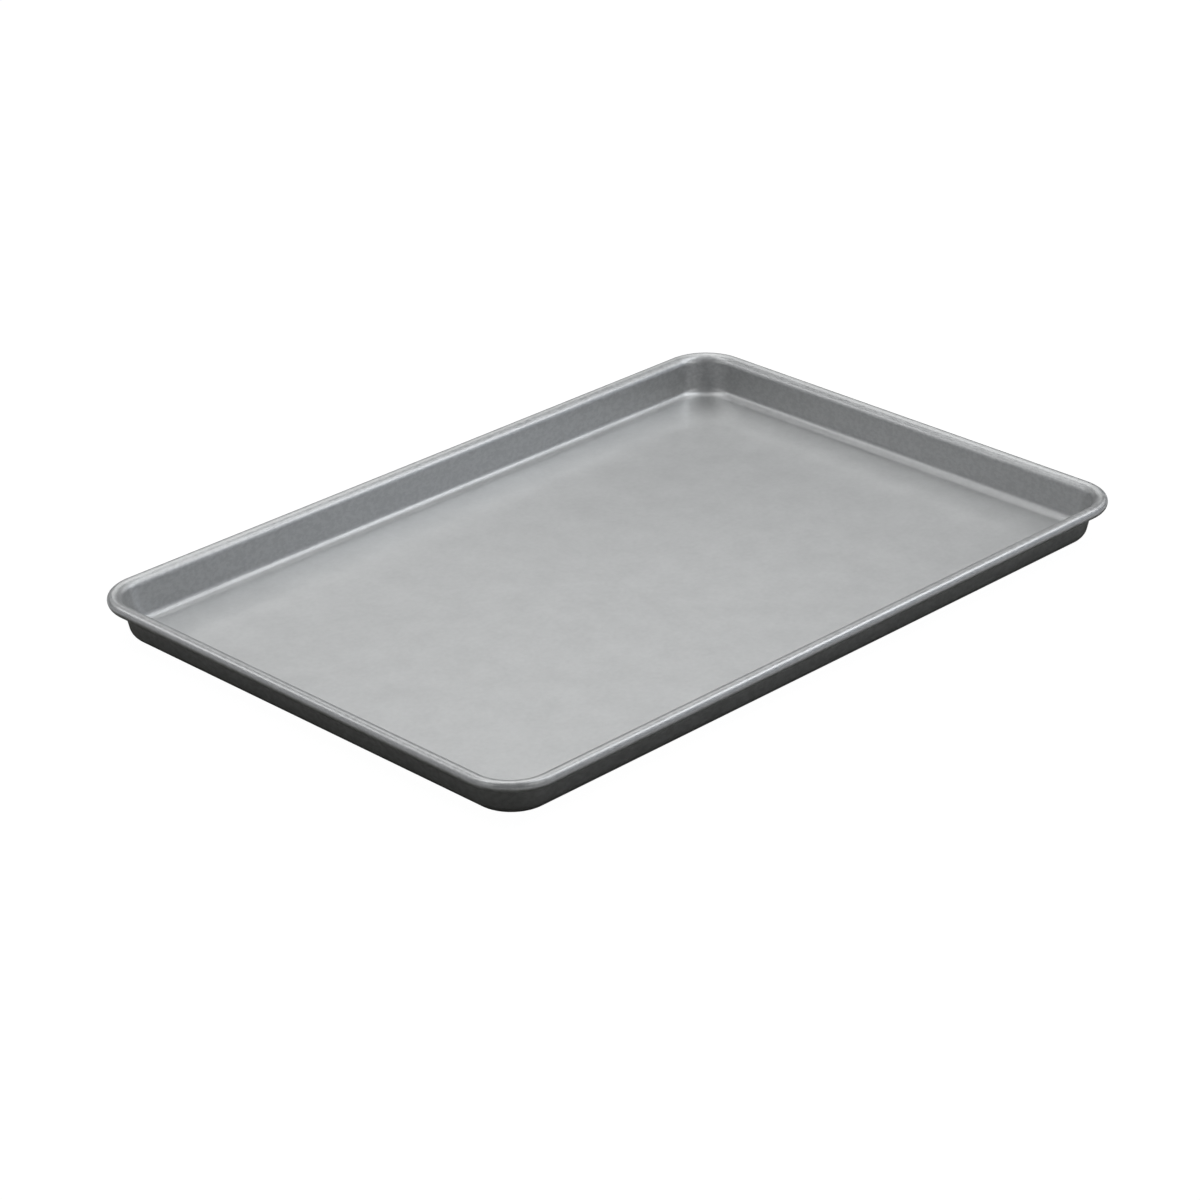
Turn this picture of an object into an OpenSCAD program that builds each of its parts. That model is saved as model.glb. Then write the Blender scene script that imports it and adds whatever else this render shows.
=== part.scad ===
// Jelly roll pan: one drawn sheet of coated steel whose edge is curled round a hidden reinforcing wire.
// Millimetres. +Z is up, +X runs along the long side, and the origin is the middle of the underside.

/* [Overall size] */
// Length over the rolled rim
pan_length = 394; // [200:1:600]
// Width over the rolled rim
pan_width = 268; // [150:1:450]
// Height from the surface it stands on to the top of the rim
pan_height = 19.8; // [16:0.2:50]
// Thickness of the sheet
sheet = 0.8; // [0.5:0.1:1.2]

/* [Walls and corners] */
// Angle of the walls from upright, opening outwards
wall_draft = 8; // [2:1:20]
// Radius of the cove between wall and floor, on the inside
cove_radius = 4.5; // [2:0.5:6]
// Plan radius of each corner over the rolled rim
corner_radius = 23.5; // [20:0.5:40]
// How far each corner's centre moves inwards for each millimetre of depth
corner_lean = 0.2; // [0:0.05:0.3]

/* [Rolled rim] */
// Outer radius of the curl
curl_radius = 2.6; // [2.2:0.1:3.5]
// Radius of the bend from wall to rim, on the top of the sheet
bend_radius = 4.5; // [3.5:0.5:6]
// How far the sheet is curled past the top of the rim, in degrees
curl_turn = 255; // [200:5:260]
// Play between the wire and the inside of the curl
wire_play = 0.1; // [0.05:0.05:0.3]
// Gap between the two ends of the wire
wire_gap = 0.5; // [0.2:0.1:2]

/* [Hidden] */
// How far cutting shapes reach past what they cut
past = 1;
// How far inside an arc the straight before it ends, so that the two always cross
bite = 0.001;
// How far a side reaches into the corner next to it, so that the two always join
overlap = 0.001;
steel_grey = [0.62, 0.63, 0.64];
wire_grey = [0.45, 0.45, 0.46];
$fn = 96;

// Sections are drawn with u = 0 at the rim's outermost edge, u negative towards the pan, and z up.
curl_z = pan_height - curl_radius;
bend_z = pan_height - bend_radius;
cove_z = sheet + cove_radius;
cove_u = -curl_radius - (bend_radius + cove_radius) / cos(wall_draft) - (bend_z - cove_z) * tan(wall_draft);
into_pan = [-cos(wall_draft), sin(wall_draft)];
wire_radius = curl_radius - sheet - wire_play;

// Where a corner's centre is along u, at height z. It leans inwards with depth, so that the inside of
// the corner keeps almost the same plan radius from rim to floor.
function corner_u(z) = -corner_radius - corner_lean * (curl_z - z);

// Everything below and outside one face of the sheet, between u = left and u = right. depth is 0 for
// the face inside the pan, and the thickness of the sheet for the other face.
module below_face(depth, left, right, bottom) {
    bend = [-curl_radius, bend_z];
    cove = [cove_u, cove_z];
    reach = 2 * bend_radius;
    difference() {
        union() {
            polygon([
                [left, bottom],
                [left, sheet - depth],
                [cove_u, sheet - depth],
                cove - (cove_radius + depth - bite) * into_pan,
                bend + (bend_radius - depth - bite) * into_pan,
                [right, bend_z],
                [right, bottom]]);
            intersection() {
                translate(bend)
                    circle(bend_radius - depth);
                translate([right - reach, bend_z - reach])
                    square([reach, 2 * reach]);
            }
        }
        translate(cove)
            circle(cove_radius + depth);
    }
}

// The curled edge, from the top of the rim outwards, down and under
module curl_section() {
    reach = 2 * curl_radius;
    end = 90 - curl_turn;
    translate([-curl_radius, curl_z])
        difference() {
            circle(curl_radius);
            circle(curl_radius - sheet);
            polygon([[0, 0], [0, reach], [-reach, reach], [-reach, 0], reach * [cos(end), sin(end)]]);
        }
}

// The whole sheet on one side of the pan, from u = left on the floor to the end of the curl
module sheet_section(left) {
    difference() {
        below_face(0, left, -curl_radius, -past);
        below_face(sheet, left - past, -curl_radius + past, -2 * past);
    }
    curl_section();
}

// The same sheet, cut off at the leaning centre of a corner
module sheet_to_corner() {
    low = -past;
    high = pan_height + past;
    intersection() {
        sheet_section(corner_u(low) - past);
        polygon([[corner_u(low), low], [past, low], [past, high], [corner_u(high), high]]);
    }
}

module wire_section() {
    translate([-curl_radius, curl_z])
        circle(wire_radius);
}

// Sweeps a section along the side towards +Y of a pan of that length and width. It ends just past the two
// leaning planes where the corners start.
module side(length, width) {
    low = -past;
    high = pan_height + past;
    low_end = length / 2 + corner_u(low) + overlap;
    high_end = length / 2 + corner_u(high) + overlap;
    intersection() {
        rotate([90, 0, 90])
            translate([0, 0, -length / 2])
                linear_extrude(length)
                    translate([width / 2, 0])
                        children();
        rotate([90, 0, 0])
            translate([0, 0, -width / 2 - past])
                linear_extrude(width + 2 * past)
                    polygon([[-low_end, low], [low_end, low], [high_end, high], [-high_end, high]]);
    }
}

// Sweeps a section round all four corners: turned about an upright axis, then leant over
module corners() {
    for (x = [0, 1], y = [0, 1])
        mirror([x, 0, 0])
            mirror([0, y, 0])
                multmatrix([
                    [1, 0, corner_lean, pan_length / 2 + corner_u(0)],
                    [0, 1, corner_lean, pan_width / 2 + corner_u(0)],
                    [0, 0, 1, 0],
                    [0, 0, 0, 1]])
                    rotate_extrude(angle = 90)
                        intersection() {
                            multmatrix([
                                [1, -corner_lean, 0, -corner_u(0)],
                                [0, 1, 0, 0],
                                [0, 0, 1, 0],
                                [0, 0, 0, 1]])
                                children();
                            translate([0, -past])
                                square([-corner_u(0) + past, pan_height + 2 * past]);
                        }
}

module pan_body() {
    color(steel_grey) {
        for (turn = [0, 180])
            rotate([0, 0, turn])
                side(pan_length, pan_width)
                    sheet_section(-pan_width / 2 - past);
        for (turn = [90, 270])
            rotate([0, 0, turn])
                side(pan_width, pan_length)
                    sheet_to_corner();
        corners()
            sheet_section(corner_u(0) - past);
    }
}

// The wire lies in the curl all the way round. Its ends meet in the middle of the long side at +Y.
module rim_wire() {
    color(wire_grey) {
        difference() {
            side(pan_length, pan_width)
                wire_section();
            translate([-wire_gap / 2, pan_width / 2 - 2 * curl_radius, 0])
                cube([wire_gap, 2 * curl_radius, pan_height]);
        }
        rotate([0, 0, 180])
            side(pan_length, pan_width)
                wire_section();
        for (turn = [90, 270])
            rotate([0, 0, turn])
                side(pan_width, pan_length)
                    wire_section();
        corners()
            wire_section();
    }
}

pan_body();
rim_wire();
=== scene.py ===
"""Jelly roll pan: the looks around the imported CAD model.

Everything is in metres, in the CAD model's frame: +Z up, +X along the long side, and the origin in the
middle of the underside.
"""

import math

import bpy
from mathutils import Matrix, Vector


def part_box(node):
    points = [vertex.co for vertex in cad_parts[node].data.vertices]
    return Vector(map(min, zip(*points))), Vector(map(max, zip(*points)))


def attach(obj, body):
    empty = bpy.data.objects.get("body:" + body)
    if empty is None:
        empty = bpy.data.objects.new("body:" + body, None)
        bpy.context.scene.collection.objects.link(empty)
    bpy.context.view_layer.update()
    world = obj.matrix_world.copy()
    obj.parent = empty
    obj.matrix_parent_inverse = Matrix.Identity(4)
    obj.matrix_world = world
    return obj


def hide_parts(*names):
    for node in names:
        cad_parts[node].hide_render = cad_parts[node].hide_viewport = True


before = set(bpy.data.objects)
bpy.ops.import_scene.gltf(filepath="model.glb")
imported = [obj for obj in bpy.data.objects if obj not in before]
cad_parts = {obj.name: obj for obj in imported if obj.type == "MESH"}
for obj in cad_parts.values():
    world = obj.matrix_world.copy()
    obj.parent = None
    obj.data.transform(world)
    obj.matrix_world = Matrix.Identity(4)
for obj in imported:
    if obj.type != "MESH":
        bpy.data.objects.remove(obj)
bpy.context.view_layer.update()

# The pan's own sizes. Its overall box comes from the frame, and the rest are the CAD model's sizes.
SHEET = 0.0008
WALL_DRAFT = math.radians(8)
COVE_RADIUS = 0.0045
CORNER_RADIUS = 0.0235
CORNER_LEAN = 0.2
CURL_RADIUS = 0.0026
BEND_RADIUS = 0.0045
CURL_TURN = math.radians(255)

# How finely the sheet is drawn
ARC_STEP = math.radians(4)
CORNER_STEPS = 24
LONG_STEPS = 40
SHORT_STEPS = 28
FLOOR_INSETS = (0.012, 0.004, 0.001)

# The photograph's view of the pan, fitted to its outline. The frame is square and FRAME_PX pixels across.
FRAME_PX = 1200
FOCAL_PX = 3810.4
VIEW_AZIMUTH = math.radians(-44.80)
VIEW_ELEVATION = math.radians(25.93)
VIEW_ROLL = math.radians(-0.89)
VIEW_DISTANCE = 1.6981
VIEW_TARGET = Vector((-0.0191, -0.0067, 0))
SENSOR_MM = 36

# Plain softboxes round the pan: name, azimuth, elevation, distance, size, power and colour
LIGHTS = (
    ("back_high", 137, 62, 2.0, 1.0, 5.20, (0.998, 1.0, 1.0)),
    ("back_middle", 138, 38, 2.0, 1.0, 3.20, (0.998, 1.0, 0.997)),
    ("back_right", 90, 30, 2.0, 0.9, 2.03, (0.995, 1.0, 1.01)),
    ("back_left", 180, 30, 2.0, 0.9, 1.05, (1, 1, 1)),
    ("right_high", 54, 63, 2.0, 0.8, 5.90, (0.985, 1.0, 1.025)),
    ("left_high", -144, 64, 2.0, 0.8, 5.10, (1.0, 1.0, 1.01)),
    ("front_right", 5, 30, 2.0, 0.9, 2.77, (1, 1, 1)),
    ("front_left", -95, 30, 2.0, 0.9, 2.05, (1, 1, 1)),
    ("right", 54, 39, 1.0, 0.35, 1.30, (0.975, 1.0, 1.04)),
    ("left", -144, 36, 1.0, 0.3, 0.66, (1.0, 1.0, 1.01)),
    ("right_low", 43, 14, 1.5, 0.6, 0.50, (0.92, 1.0, 1.15)),
    ("left_low", -134, 14, 1.5, 0.6, 0.45, (0.99, 1.0, 1.05)),
)
WORLD_COLOUR = (0.138, 0.141, 0.147, 1)

# The white paper floor, and the white paper backdrop round the studio: how much of the light each gives
# back, and how much it glows
ROOM_RADIUS = 6
BACKDROP_HEIGHT = 6
BACKDROP_SIDES = 64
FLOOR_Z = -0.0003
FLOOR_DIFFUSE, FLOOR_GLOW = 0.12, 0.975
BACKDROP_DIFFUSE, BACKDROP_GLOW = 0.0, 1.0

# Only reflections show these two: a dark sheet close round the pan, which is painted shadow standing in for
# the shade the pan casts on the table next to itself, and the paler table beyond it
TABLE_Z = -0.0002
TABLE_HALF = 3
TABLE_COLOUR = (0.6, 0.6, 0.6, 1)
PAINTED_SHADOW_Z = -0.0001
PAINTED_SHADOW_MARGIN_X, PAINTED_SHADOW_MARGIN_Y = 0.034, 0.017
PAINTED_SHADOW_COLOUR = (0.07, 0.069, 0.058, 1)

# The non-stick coat. The scales are cells of noise per metre. The flecks come up between two heights.
COAT_DARK, COAT_PALE = (0.494, 0.501, 0.499, 1), (0.566, 0.573, 0.570, 1)
COAT_ROUGHNESS = (0.36, 0.45)
HAZE_SCALE = 55.0
MOTTLE_SCALE = 420.0
FLECK_SCALES = (400, 400, 620)
FLECK_HEIGHTS = (SHEET + 0.0004, SHEET + COVE_RADIUS)
GRAIN_SCALE = 2600.0
GRAIN_HEIGHT = 0.00002

# The wire
WIRE_DARK, WIRE_PALE = (0.32, 0.31, 0.30, 1), (0.42, 0.41, 0.40, 1)
WIRE_ROUGHNESS = (0.38, 0.5)
WIRE_LINE_SCALE = 1500.0


# ---------------------------------------------------------------- the sheet

pan_high = Vector(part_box("pan_body")[1])
HALF_LENGTH = pan_high.x
HALF_WIDTH = pan_high.y
HEIGHT = pan_high.z
CURL_Z = HEIGHT - CURL_RADIUS
BEND_Z = HEIGHT - BEND_RADIUS
COVE_Z = SHEET + COVE_RADIUS
ARCS_ACROSS = (BEND_RADIUS + COVE_RADIUS) / math.cos(WALL_DRAFT)
WALL_ACROSS = (BEND_Z - COVE_Z) * math.tan(WALL_DRAFT)
COVE_U = -CURL_RADIUS - ARCS_ACROSS - WALL_ACROSS


def mesh_object(name, verts, faces, material):
    mesh = bpy.data.meshes.new(name)
    mesh.from_pydata(verts, [], faces)
    mesh.materials.append(material)
    made = bpy.data.objects.new(name, mesh)
    bpy.context.collection.objects.link(made)
    return made


def arc(centre, radius, start, end):
    """Points from one angle to another. The outline of the sheet is drawn with u = 0 at the rim's outermost
    edge, u negative towards the pan, and z up."""
    steps = math.ceil(abs(end - start) / ARC_STEP)
    angles = [start + (end - start) * i / steps for i in range(steps + 1)]
    return [(centre[0] + radius * math.cos(a), centre[1] + radius * math.sin(a)) for a in angles]


def sheet_face(depth):
    """One face of the sheet, from the floor to the end of the curl. depth is 0 on the inside of the
    pan, and the thickness of the sheet on the outside."""
    quarter = math.pi / 2
    cove = arc((COVE_U, COVE_Z), COVE_RADIUS + depth, -quarter, -WALL_DRAFT)
    bend = arc((-CURL_RADIUS, BEND_Z), BEND_RADIUS - depth, math.pi - WALL_DRAFT, quarter)
    curl = arc((-CURL_RADIUS, CURL_Z), CURL_RADIUS - depth, quarter, quarter - CURL_TURN)
    return cove + bend + curl[1:]


def corner_u(z):
    """Where a corner's centre is at height z: it leans inwards with depth."""
    return -CORNER_RADIUS - CORNER_LEAN * (CURL_Z - z)


def stations():
    """The way round the pan, anticlockwise from the middle of the +X side, as (f, g, outward): f and g
    say where between the corner centres, from -1 to 1, and outward is the direction out of the pan."""
    way = []
    corner_signs = ((1, 1), (-1, 1), (-1, -1), (1, -1))
    for quadrant, (sx, sy) in enumerate(corner_signs):
        for i in range(CORNER_STEPS + 1):
            a = math.radians(90) * (quadrant + i / CORNER_STEPS)
            way.append((sx, sy, (math.cos(a), math.sin(a))))
        tx, ty = corner_signs[(quadrant + 1) % 4]
        steps = LONG_STEPS if tx != sx else SHORT_STEPS
        a = math.radians(90) * (quadrant + 1)
        for i in range(1, steps):
            t = i / steps
            way.append((sx + (tx - sx) * t, sy + (ty - sy) * t, (math.cos(a), math.sin(a))))
    return way


def place(station, u, z):
    """Where a point of the outline is at one station."""
    f, g, outward = station
    centre = corner_u(z)
    rho = u - centre
    return (f * (HALF_LENGTH + centre) + rho * outward[0], g * (HALF_WIDTH + centre) + rho * outward[1], z)


def build_pan(material):
    """The sheet as one closed mesh: its outline carried round the pan, and a flat face that closes each side
    of the floor."""
    floor_edge = [(COVE_U - inset, SHEET) for inset in FLOOR_INSETS]
    inside = floor_edge + sheet_face(0)
    outside = [(u, 0) for u, _ in floor_edge] + sheet_face(SHEET)
    outline = inside + outside[::-1]
    way = stations()
    count = len(way)
    verts = [place(station, u, z) for u, z in outline for station in way]
    faces = []
    for ring in range(len(outline) - 1):
        for i in range(count):
            j = (i + 1) % count
            this, after = ring * count, (ring + 1) * count
            faces.append((this + i, after + i, after + j, this + j))
    last = (len(outline) - 1) * count
    faces.append(tuple(range(count)))
    faces.append(tuple(range(last + count - 1, last - 1, -1)))
    made = mesh_object("pan_sheet", verts, faces, material)
    made.data.validate()
    made.data.polygons.foreach_set("use_smooth", [True] * len(made.data.polygons))
    return made


# ---------------------------------------------------------------- materials

# Which inputs and outputs of a Mix node belong to numbers and which to colours
MIX_SHARE = 0
MIX_NUMBERS, MIXED_NUMBER = (2, 3), 0
MIX_COLOURS, MIXED_COLOUR = (6, 7), 2


def set_values(node, values):
    """Each value goes to the input of that name, or else to the node's own setting."""
    for key, value in values.items():
        if key in node.inputs:
            node.inputs[key].default_value = value
        else:
            setattr(node, key, value)


def new_material(name, **values):
    """A material, its node tree and its shader with these values. Spaces in names are written as _."""
    material = bpy.data.materials.new(name)
    material.use_nodes = True
    shader = material.node_tree.nodes["Principled BSDF"]
    set_values(shader, {key.replace("_", " "): value for key, value in values.items()})
    return material, material.node_tree, shader


def add(tree, kind, **values):
    node = tree.nodes.new(kind)
    set_values(node, values)
    return node


def noise(tree, place_on, scale, detail, roughness=0.5):
    made = add(tree, "ShaderNodeTexNoise", Scale=scale, Detail=detail, Roughness=roughness)
    tree.links.new(place_on, made.inputs["Vector"])
    return made.outputs["Fac"]


def blend(tree, first, second, share):
    """A number between two others. share is a socket, or a fixed number."""
    mix = add(tree, "ShaderNodeMix", data_type="FLOAT")
    if isinstance(share, float):
        mix.inputs[MIX_SHARE].default_value = share
    else:
        tree.links.new(share, mix.inputs[MIX_SHARE])
    for value, index in zip((first, second), MIX_NUMBERS):
        tree.links.new(value, mix.inputs[index])
    return mix.outputs[MIXED_NUMBER]


def tinted(tree, value, dark, pale):
    """A colour between two others, for a value between 0 and 1."""
    mix = add(tree, "ShaderNodeMix", data_type="RGBA")
    for colour, index in zip((dark, pale), MIX_COLOURS):
        mix.inputs[index].default_value = colour
    tree.links.new(value, mix.inputs[MIX_SHARE])
    return mix.outputs[MIXED_COLOUR]


def stretched(tree, value, old, new):
    """A number moved from one range to another, and held at its ends."""
    ends = {"From Min": old[0], "From Max": old[1], "To Min": new[0], "To Max": new[1]}
    span = add(tree, "ShaderNodeMapRange", **ends)
    tree.links.new(value, span.inputs["Value"])
    return span.outputs["Result"]


def coat_material():
    """The satin grey non-stick coat: metallic pigment under a thin clear skin, with a cloudy haze, a fine
    mottle, which becomes stronger flecks on the walls and the rim, and a fine grain."""
    material, tree, shader = new_material("satin_coat", Metallic=0.72, Coat_Weight=0.6, Coat_Roughness=0.13)
    links = tree.links
    place_on = add(tree, "ShaderNodeTexCoord").outputs["Object"]
    squeezed = add(tree, "ShaderNodeMapping", Scale=FLECK_SCALES)
    links.new(place_on, squeezed.inputs["Vector"])
    axes = add(tree, "ShaderNodeSeparateXYZ")
    links.new(place_on, axes.inputs["Vector"])

    haze = noise(tree, place_on, HAZE_SCALE, 4.0, 0.55)
    mottle = noise(tree, place_on, MOTTLE_SCALE, 3.0, 0.6)
    fleck = noise(tree, squeezed.outputs["Vector"], 1.0, 3.0, 0.6)
    grain = noise(tree, place_on, GRAIN_SCALE, 2.0)

    on_walls = stretched(tree, axes.outputs["Z"], FLECK_HEIGHTS, (0, 1))
    flecks = stretched(tree, fleck, (0.36, 0.64), (0.28, 0.72))
    cloud = blend(tree, blend(tree, haze, mottle, 0.5), flecks, on_walls)
    colour = tinted(tree, stretched(tree, cloud, (0.35, 0.65), (0, 1)), COAT_DARK, COAT_PALE)
    links.new(colour, shader.inputs["Base Color"])

    gloss = stretched(tree, blend(tree, mottle, flecks, on_walls), (0.3, 0.7), COAT_ROUGHNESS)
    links.new(gloss, shader.inputs["Roughness"])

    bump = add(tree, "ShaderNodeBump", Strength=0.35, Distance=GRAIN_HEIGHT)
    links.new(grain, bump.inputs["Height"])
    links.new(bump.outputs["Normal"], shader.inputs["Normal"])
    return material


def wire_material():
    """Plain drawn steel wire, faintly uneven."""
    material, tree, shader = new_material("drawn_wire", Metallic=1.0)
    place_on = add(tree, "ShaderNodeTexCoord").outputs["Object"]
    lines = noise(tree, place_on, WIRE_LINE_SCALE, 2.0)
    tree.links.new(tinted(tree, lines, WIRE_DARK, WIRE_PALE), shader.inputs["Base Color"])
    tree.links.new(stretched(tree, lines, (0, 1), WIRE_ROUGHNESS), shader.inputs["Roughness"])
    return material


def matt_material(name, colour, glow=0.0):
    return new_material(
        name, Base_Color=colour, Roughness=1.0, Specular_IOR_Level=0.0,
        Emission_Color=(1, 1, 1, 1), Emission_Strength=glow)[0]


def white_paper(name, diffuse, glow):
    return matt_material(name, (diffuse, diffuse, diffuse, 1), glow)


# ---------------------------------------------------------------- the pan

pan = build_pan(coat_material())
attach(pan, "root")
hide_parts("pan_body")

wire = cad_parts["rim_wire"]
wire.data.materials.clear()
wire.data.materials.append(wire_material())


# ---------------------------------------------------------------- floor, light and camera

def plane(name, half_x, half_y, height, material):
    corners = [(-half_x, -half_y, 0), (half_x, -half_y, 0), (half_x, half_y, 0), (-half_x, half_y, 0)]
    made = mesh_object(name, corners, [(0, 1, 2, 3)], material)
    made.location.z = height
    return made


def build_floor():
    """The white paper that the pan stands on. It glows, so that hardly any shadow is left, and the pan
    doesn't reflect it."""
    paper = white_paper("white_paper", FLOOR_DIFFUSE, FLOOR_GLOW)
    floor = plane("studio_floor", ROOM_RADIUS, ROOM_RADIUS, FLOOR_Z, paper)
    floor.visible_glossy = False
    floor.visible_diffuse = False
    return floor


def build_backdrop():
    """The white paper round the studio, which low views see behind the pan."""
    verts, faces = [], []
    for i in range(BACKDROP_SIDES):
        a = 2 * math.pi * i / BACKDROP_SIDES
        x, y = ROOM_RADIUS * math.cos(a), ROOM_RADIUS * math.sin(a)
        verts += [(x, y, FLOOR_Z), (x, y, BACKDROP_HEIGHT)]
        j = (i + 1) % BACKDROP_SIDES
        faces.append((2 * i, 2 * i + 1, 2 * j + 1, 2 * j))
    paper = white_paper("backdrop_paper", BACKDROP_DIFFUSE, BACKDROP_GLOW)
    backdrop = mesh_object("studio_backdrop", verts, faces, paper)
    backdrop.visible_glossy = False
    backdrop.visible_diffuse = False
    backdrop.visible_shadow = False
    return backdrop


def build_reflected(name, half_x, half_y, height, colour):
    """A flat matt sheet that only reflections show."""
    sheet = plane(name, half_x, half_y, height, matt_material(name, colour))
    sheet.visible_camera = False
    sheet.visible_shadow = False
    return sheet


def direction(azimuth, elevation):
    """Azimuth 0 is in front of the long side at -Y, and it turns towards +X."""
    level = math.cos(elevation)
    return Vector((math.sin(azimuth) * level, -math.cos(azimuth) * level, math.sin(elevation)))


def softbox(name, azimuth, elevation, distance, size, power, colour):
    """A square light that faces the pan."""
    away = direction(math.radians(azimuth), math.radians(elevation))
    data = bpy.data.lights.new(name, "AREA")
    data.shape = "SQUARE"
    data.size = size
    data.energy = power
    data.color = colour
    light = bpy.data.objects.new(name, data)
    light.location = away * distance
    light.rotation_euler = away.to_track_quat("Z", "Y").to_euler()
    bpy.context.collection.objects.link(light)


def build_camera():
    """The photograph's camera, which is rolled a little about its line of sight."""
    back = direction(VIEW_AZIMUTH, VIEW_ELEVATION)
    right = Vector((math.cos(VIEW_AZIMUTH), math.sin(VIEW_AZIMUTH), 0))
    up = back.cross(right)
    rolled_right = right * math.cos(VIEW_ROLL) + up * math.sin(VIEW_ROLL)
    rolled_up = up * math.cos(VIEW_ROLL) - right * math.sin(VIEW_ROLL)
    data = bpy.data.cameras.new("camera")
    data.sensor_width = SENSOR_MM
    data.lens = FOCAL_PX / FRAME_PX * SENSOR_MM
    camera = bpy.data.objects.new("camera", data)
    turn = Matrix((rolled_right, rolled_up, back)).transposed()
    camera.matrix_world = Matrix.Translation(VIEW_TARGET + back * VIEW_DISTANCE) @ turn.to_4x4()
    bpy.context.collection.objects.link(camera)
    return camera


build_floor()
build_backdrop()
build_reflected("studio_table", TABLE_HALF, TABLE_HALF, TABLE_Z, TABLE_COLOUR)
# Painted shadow: the dark sheet close round the pan, which the outer walls and the curl reflect as the pan's
# own shade on the table
shadow_half_x, shadow_half_y = HALF_LENGTH + PAINTED_SHADOW_MARGIN_X, HALF_WIDTH + PAINTED_SHADOW_MARGIN_Y
build_reflected("painted_shadow_sheet", shadow_half_x, shadow_half_y, PAINTED_SHADOW_Z, PAINTED_SHADOW_COLOUR)
for light in LIGHTS:
    softbox(*light)
world = bpy.data.worlds.new("studio")
world.use_nodes = True
world.node_tree.nodes["Background"].inputs["Color"].default_value = WORLD_COLOUR
bpy.context.scene.world = world
bpy.context.scene.view_settings.view_transform = "Standard"
bpy.context.scene.camera = build_camera()
